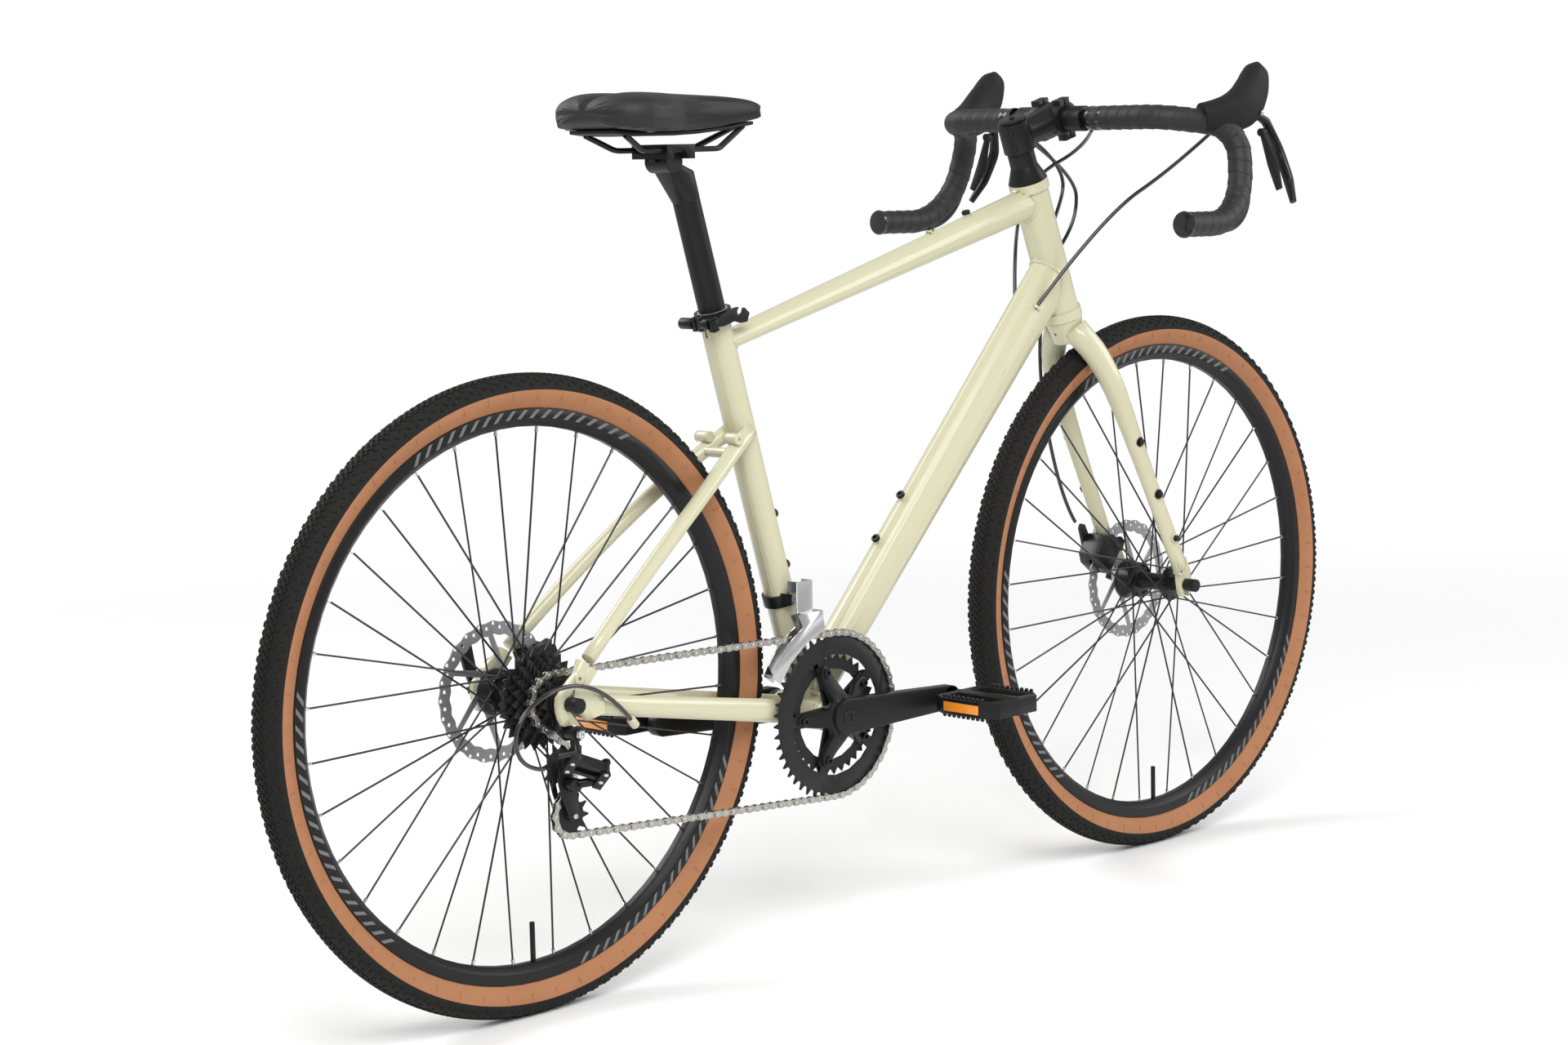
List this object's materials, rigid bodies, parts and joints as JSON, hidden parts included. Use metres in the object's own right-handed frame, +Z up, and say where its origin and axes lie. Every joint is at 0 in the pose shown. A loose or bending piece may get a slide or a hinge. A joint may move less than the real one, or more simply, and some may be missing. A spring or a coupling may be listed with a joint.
{
  "type": "gravel bike",
  "caption": "Drop-bar gravel bike with disc brakes, a chain drivetrain with front and rear derailleurs, a clamped seatpost and quick-release wheels.",
  "frame": {"origin": "on the ground, midway between the axles, in the bike's middle plane", "axes": "+X forward, +Y to the rider's left, +Z up"},
  "size_m": [1.786, 0.54, 1.0249],
  "materials": {
    "frame_paint": "satin",
    "black_alloy": "satin",
    "tyre_rubber": "matte",
    "spoke_steel": "satin",
    "bright_steel": "satin",
    "lever_alloy": "satin",
    "chain_steel": "satin",
    "sprocket_steel": "satin",
    "black_plastic": "matte",
    "soft_rubber": "matte",
    "saddle_skin": "satin",
    "housing": "gloss"
  },
  "bodies": {
    "frame": {"head_tube": "frame_paint", "seat_tube": "frame_paint", "bottom_bracket": "frame_paint", "top_tube": "frame_paint", "down_tube": "frame_paint", "rear_triangle": "frame_paint", "derailleur_hanger": "black_alloy", "seat_clamp": "black_alloy", "rear_axle": "bright_steel", "rear_caliper": "black_alloy", "front_derailleur_body": "black_alloy", "control_cables": "housing", "chain": "chain_steel"},
    "steering": {"fork": "frame_paint", "headset_cover": "black_alloy", "stem": "black_alloy", "handlebar": "black_alloy", "bar_tape": "soft_rubber", "lever_hoods": "soft_rubber", "front_caliper": "black_alloy", "front_brake_cable": "housing", "front_axle": "bright_steel"},
    "front_wheel": {"front_tyre": "tyre_rubber", "front_rim": "black_alloy", "front_spokes": "spoke_steel", "front_hub": "black_alloy", "front_rotor": "bright_steel"},
    "rear_wheel": {"rear_tyre": "tyre_rubber", "rear_rim": "black_alloy", "rear_spokes": "spoke_steel", "rear_hub": "black_alloy", "rear_rotor": "bright_steel"},
    "sprockets": {"cassette": "sprocket_steel"},
    "cranks": {"crank_arms": "black_alloy", "chainrings": "black_alloy"},
    "right_pedal": {"right_pedal": "black_alloy"},
    "left_pedal": {"left_pedal": "black_alloy"},
    "rd_body": {"rd_body": "black_alloy"},
    "rd_outer_link": {"rd_outer_link": "black_alloy"},
    "rd_inner_link": {"rd_inner_link": "black_alloy"},
    "rd_knuckle": {"rd_knuckle": "black_alloy"},
    "rd_cage": {"rd_cage": "black_alloy"},
    "guide_pulley": {"guide_pulley": "black_plastic"},
    "tension_pulley": {"tension_pulley": "black_plastic"},
    "fd_link": {"fd_link": "bright_steel"},
    "fd_cage": {"fd_cage": "bright_steel"},
    "left_brake_lever": {"left_brake_lever": "black_alloy"},
    "right_brake_lever": {"right_brake_lever": "black_alloy"},
    "left_shift_paddle": {"left_shift_paddle": "black_plastic"},
    "right_shift_paddle": {"right_shift_paddle": "black_plastic"},
    "front_caliper_arm": {"front_caliper_arm": "bright_steel"},
    "rear_caliper_arm": {"rear_caliper_arm": "bright_steel"},
    "front_qr_lever": {"front_qr_lever": "lever_alloy"},
    "rear_qr_lever": {"rear_qr_lever": "lever_alloy"},
    "seat_clamp_lever": {"seat_clamp_lever": "black_alloy"},
    "seatpost": {"seatpost": "black_alloy"},
    "saddle_clamp": {"saddle_clamp": "black_alloy"},
    "saddle": {"saddle_cover": "saddle_skin", "saddle_base": "black_plastic", "saddle_rails": "bright_steel"}
  },
  "joints": [
    {"name": "steering_turn", "type": "hinge", "parent": "frame", "child": "steering", "pos_m": [0.36698, 0, 0.71004], "axis": [-0.3502, 0, 0.9367], "range_deg": [-45, 45], "deforming": ["control_cables"]},
    {"name": "front_wheel_spin", "type": "hinge", "parent": "steering", "child": "front_wheel", "pos_m": [0.542, 0, 0.351], "axis": [0, 1, 0], "continuous": true},
    {"name": "rear_wheel_spin", "type": "hinge", "parent": "frame", "child": "rear_wheel", "pos_m": [-0.542, 0, 0.351], "axis": [0, 1, 0], "continuous": true},
    {"name": "crank_spin", "type": "hinge", "parent": "frame", "child": "cranks", "pos_m": [-0.11, 0, 0.273], "axis": [0, 1, 0], "continuous": true, "deforming": ["chain"]},
    {"name": "sprocket_spin", "type": "hinge", "parent": "frame", "child": "sprockets", "pos_m": [-0.542, 0, 0.351], "axis": [0, 1, 0], "continuous": true},
    {"name": "right_pedal_spin", "type": "hinge", "parent": "cranks", "child": "right_pedal", "pos_m": [0.06, 0, 0.273], "axis": [0, 1, 0], "continuous": true},
    {"name": "left_pedal_spin", "type": "hinge", "parent": "cranks", "child": "left_pedal", "pos_m": [-0.28, 0, 0.273], "axis": [0, 1, 0], "continuous": true},
    {"name": "rd_hanger_swing", "type": "hinge", "parent": "frame", "child": "rd_body", "pos_m": [-0.539, -0.0675, 0.319], "axis": [0, 1, 0], "range_deg": [0, 15], "stiffness_Nm_per_rad": 2, "springref_deg": -5.73, "deforming": ["chain", "control_cables"]},
    {"name": "rd_outer_link_swing", "type": "hinge", "parent": "rd_body", "child": "rd_outer_link", "pos_m": [-0.542, -0.0766, 0.2936], "axis": [0.5389, 0.5956, 0.5956], "range_deg": [-4, 44], "deforming": ["chain"]},
    {"name": "rd_inner_link_swing", "type": "hinge", "parent": "rd_body", "child": "rd_inner_link", "pos_m": [-0.542, -0.0674, 0.2844], "axis": [0.5389, 0.5956, 0.5956], "range_deg": [-4, 44]},
    {"name": "rd_knuckle_swing", "type": "hinge", "parent": "rd_outer_link", "child": "rd_knuckle", "pos_m": [-0.50831, -0.09184, 0.27835], "axis": [0.5389, 0.5956, 0.5956], "range_deg": [-44, 4]},
    {"name": "rd_cage_swing", "type": "hinge", "parent": "rd_knuckle", "child": "rd_cage", "pos_m": [-0.53, -0.047, 0.26], "axis": [0, 1, 0], "range_deg": [-30, 10], "stiffness_Nm_per_rad": 1, "deforming": ["chain"]},
    {"name": "guide_pulley_spin", "type": "hinge", "parent": "rd_cage", "child": "guide_pulley", "pos_m": [-0.53469, -0.047, 0.27985], "axis": [0, 1, 0], "continuous": true},
    {"name": "tension_pulley_spin", "type": "hinge", "parent": "rd_cage", "child": "tension_pulley", "pos_m": [-0.52273, -0.047, 0.22323], "axis": [0, 1, 0], "continuous": true},
    {"name": "fd_link_swing", "type": "hinge", "parent": "frame", "child": "fd_link", "pos_m": [-0.15024, -0.026, 0.41334], "axis": [-1, 0, 0], "range_deg": [0, 26], "deforming": ["chain"]},
    {"name": "fd_cage_swing", "type": "hinge", "parent": "fd_link", "child": "fd_cage", "pos_m": [-0.15024, -0.0296, 0.42893], "axis": [-1, 0, 0], "range_deg": [-26, 0]},
    {"name": "left_brake_pull", "type": "hinge", "parent": "steering", "child": "left_brake_lever", "pos_m": [0.46924, 0.221, 0.96276], "axis": [0, 1, 0], "range_deg": [0, 14], "stiffness_Nm_per_rad": 1.5, "springref_deg": -5.73},
    {"name": "left_shift_push", "type": "hinge", "parent": "left_brake_lever", "child": "left_shift_paddle", "pos_m": [0.48324, 0.2265, 0.93876], "axis": [-1, 0, 0], "range_deg": [0, 18], "stiffness_Nm_per_rad": 0.3, "springref_deg": -5.73},
    {"name": "right_brake_pull", "type": "hinge", "parent": "steering", "child": "right_brake_lever", "pos_m": [0.46924, -0.221, 0.96276], "axis": [0, 1, 0], "range_deg": [0, 14], "stiffness_Nm_per_rad": 1.5, "springref_deg": -5.73},
    {"name": "right_shift_push", "type": "hinge", "parent": "right_brake_lever", "child": "right_shift_paddle", "pos_m": [0.48324, -0.2265, 0.93876], "axis": [1, 0, 0], "range_deg": [0, 18], "stiffness_Nm_per_rad": 0.3, "springref_deg": -5.73},
    {"name": "front_caliper_pull", "type": "hinge", "parent": "steering", "child": "front_caliper_arm", "pos_m": [0.48763, 0.06, 0.39348], "axis": [0, 1, 0], "range_deg": [0, 20], "stiffness_Nm_per_rad": 1, "springref_deg": -5.73},
    {"name": "rear_caliper_pull", "type": "hinge", "parent": "frame", "child": "rear_caliper_arm", "pos_m": [-0.47716, 0.068, 0.3746], "axis": [0, 1, 0], "range_deg": [0, 20], "stiffness_Nm_per_rad": 1, "springref_deg": -5.73},
    {"name": "front_qr_open", "type": "hinge", "parent": "steering", "child": "front_qr_lever", "pos_m": [0.542, 0.0681, 0.351], "axis": [-0.9397, 0, 0.342], "range_deg": [0, 160]},
    {"name": "rear_qr_open", "type": "hinge", "parent": "frame", "child": "rear_qr_lever", "pos_m": [-0.542, 0.0851, 0.351], "axis": [-0.9659, 0, -0.2588], "range_deg": [0, 160]},
    {"name": "seat_clamp_open", "type": "hinge", "parent": "frame", "child": "seat_clamp_lever", "pos_m": [-0.26916, -0.0246, 0.73919], "axis": [0.2756, 0, -0.9613], "range_deg": [0, 150]},
    {"name": "seatpost_height", "type": "slide", "parent": "frame", "child": "seatpost", "axis": [-0.2756, 0, 0.9613], "range_m": [-0.08, 0.06]},
    {"name": "saddle_tilt", "type": "hinge", "parent": "seatpost", "child": "saddle_clamp", "pos_m": [-0.31647, 0, 0.92236], "axis": [0, 1, 0], "range_deg": [-8, 8]},
    {"name": "saddle_fore_aft", "type": "slide", "parent": "saddle_clamp", "child": "saddle", "axis": [1, 0, 0], "range_m": [-0.012, 0.012]}
  ],
  "couplings": [
    {"joint": "sprocket_spin", "follows": "crank_spin", "ratio": 3.2},
    {"joint": "guide_pulley_spin", "follows": "crank_spin", "ratio": -4.3636},
    {"joint": "tension_pulley_spin", "follows": "crank_spin", "ratio": 4.3636},
    {"joint": "rd_inner_link_swing", "follows": "rd_outer_link_swing", "ratio": 1},
    {"joint": "rd_knuckle_swing", "follows": "rd_outer_link_swing", "ratio": -1},
    {"joint": "fd_cage_swing", "follows": "fd_link_swing", "ratio": -1}
  ]
}
